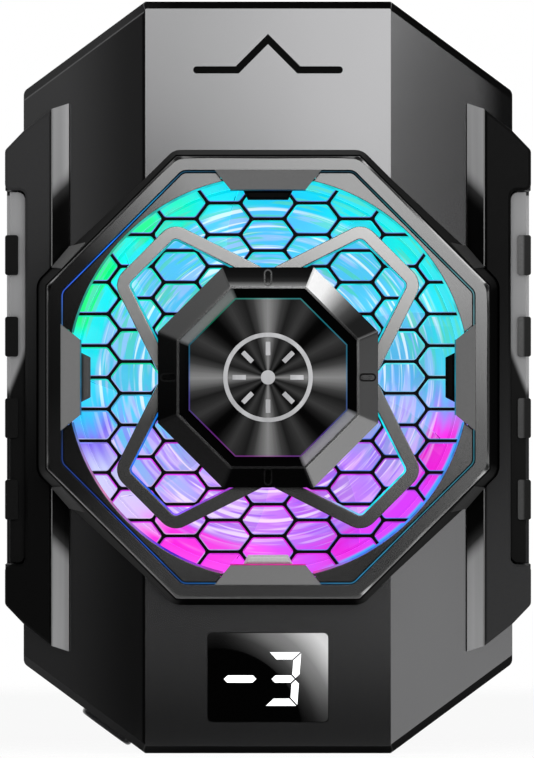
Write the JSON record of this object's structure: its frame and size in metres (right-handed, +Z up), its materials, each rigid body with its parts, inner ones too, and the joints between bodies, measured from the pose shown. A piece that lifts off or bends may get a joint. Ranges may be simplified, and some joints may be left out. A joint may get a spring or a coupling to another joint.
{
  "type": "phone cooling fan",
  "caption": "Clamp-on thermoelectric phone cooler with a lit fan behind a hexagon guard, a small temperature readout and two sprung sliding jaws.",
  "frame": {"origin": "middle of the bounding box's bottom, on the surface that the casing's lower end stands on", "axes": "+Z up along the phone, +X to the right seen from the front, the fan faces -Y and the phone lies against the +Y side"},
  "size_m": [0.0658, 0.0364, 0.094],
  "materials": {
    "casing": "satin dark moulded plastic",
    "casing_back": "fine matte texture",
    "screw_steel": "blackened steel",
    "thermal_pad": "soft silicone sheet",
    "cold_plate": "brushed aluminium",
    "ceramic": "alumina ceramic",
    "pellet_metal": "semiconductor pellets",
    "foam": "closed-cell foam",
    "heat_sink": "skived aluminium fins",
    "fan_plastic": "black moulded plastic",
    "bearing_bronze": "sintered bronze",
    "shaft_steel": "ground steel",
    "board": "solder mask",
    "stator_steel": "stacked steel sheet",
    "coil_copper": "enamelled copper wire",
    "magnet": "bonded ferrite",
    "rotor_plastic": "translucent lit blades",
    "light_ring": "lit diffuser",
    "led": "light source",
    "guard_mesh": "black coated hexagon grille",
    "star_trim": "satin silver grey",
    "bezel": "dark satin",
    "guard_clamp": "dark grey satin",
    "guard_stud": "black",
    "corner_panel": "dark grey",
    "hub_ring": "polished dark metal",
    "hub_plate": "circular spun finish",
    "hub_inlay": "bright inlay",
    "window": "black gloss lens",
    "digits": "white lit segments",
    "chip": "moulded package",
    "socket_steel": "stamped steel",
    "socket_plastic": "black insert",
    "button": "black",
    "gear_plastic": "natural acetal",
    "jaw": "black moulded arm",
    "jaw_plate": "dark charcoal satin",
    "jaw_trim": "dark chrome",
    "grip_strip": "satin light grey metal",
    "grip_rib": "black rubber",
    "hook_pad": "soft grey-black rubber",
    "spring_steel": "music wire"
  },
  "bodies": {
    "housing": {"front_shell": "casing", "rear_cover": "casing_back", "rear_screws": "screw_steel", "thermal_pad": "thermal_pad", "cold_plate": "cold_plate", "peltier_cold_ceramic": "ceramic", "peltier_pellets": "pellet_metal", "peltier_hot_ceramic": "ceramic", "insulation_foam": "foam", "heat_sink": "heat_sink", "heat_sink_screws": "screw_steel", "fan_base": "fan_plastic", "fan_bearing": "bearing_bronze", "motor_board": "board", "stator_core": "stator_steel", "stator_coils": "coil_copper", "light_ring": "light_ring", "led_board": "board", "leds": "led", "guard_mesh": "guard_mesh", "star_trim": "star_trim", "fan_bezel": "bezel", "bezel_screws": "screw_steel", "guard_clamps": "guard_clamp", "guard_studs": "guard_stud", "corner_panels": "corner_panel", "hub_ring": "hub_ring", "hub_plate": "hub_plate", "hub_inlay": "hub_inlay", "display_window": "window", "display_digits": "digits", "display_module": "fan_plastic", "main_board": "board", "board_chips": "chip", "usb_socket": "socket_steel", "usb_tongue": "socket_plastic", "button_switch": "chip", "button_board": "board", "pinion_pin": "shaft_steel"},
    "fan": {"fan_rotor": "rotor_plastic", "fan_shaft": "shaft_steel", "rotor_magnet": "magnet"},
    "button": {"mode_button": "button"},
    "pinion": {"sync_pinion": "gear_plastic"},
    "left_clamp": {"left_jaw": "jaw", "left_jaw_plate": "jaw_plate", "left_jaw_trim": "jaw_trim", "left_grip_strip": "grip_strip", "left_grip_ribs": "grip_rib", "left_hook_pad": "hook_pad", "left_clip_spring": "spring_steel"},
    "right_clamp": {"right_jaw": "jaw", "right_jaw_plate": "jaw_plate", "right_jaw_trim": "jaw_trim", "right_grip_strip": "grip_strip", "right_grip_ribs": "grip_rib", "right_hook_pad": "hook_pad", "right_clip_spring": "spring_steel"}
  },
  "joints": [
    {"name": "fan_spin", "type": "hinge", "parent": "housing", "child": "fan", "pos_m": [0, -0.01075, 0.047], "axis": [0, -1, 0], "continuous": true},
    {"name": "left_clamp_slide", "type": "slide", "parent": "housing", "child": "left_clamp", "axis": [-1, 0, 0], "range_m": [0, 0.014], "stiffness_N_per_m": 60, "springref_m": -0.03, "deforming": ["left_clip_spring"]},
    {"name": "right_clamp_slide", "type": "slide", "parent": "housing", "child": "right_clamp", "axis": [1, 0, 0], "range_m": [0, 0.014], "deforming": ["right_clip_spring"]},
    {"name": "pinion_spin", "type": "hinge", "parent": "housing", "child": "pinion", "pos_m": [0, -0.00125, 0.077], "axis": [0, -1, 0], "range_deg": [0, 268]},
    {"name": "mode_button_press", "type": "slide", "parent": "housing", "child": "button", "axis": [0.5905, 0, 0.807], "range_m": [0, 0.0006], "stiffness_N_per_m": 800}
  ],
  "couplings": [
    {"joint": "right_clamp_slide", "follows": "left_clamp_slide", "ratio": 1},
    {"joint": "pinion_spin", "follows": "left_clamp_slide", "rad_per_m": 333.33}
  ]
}
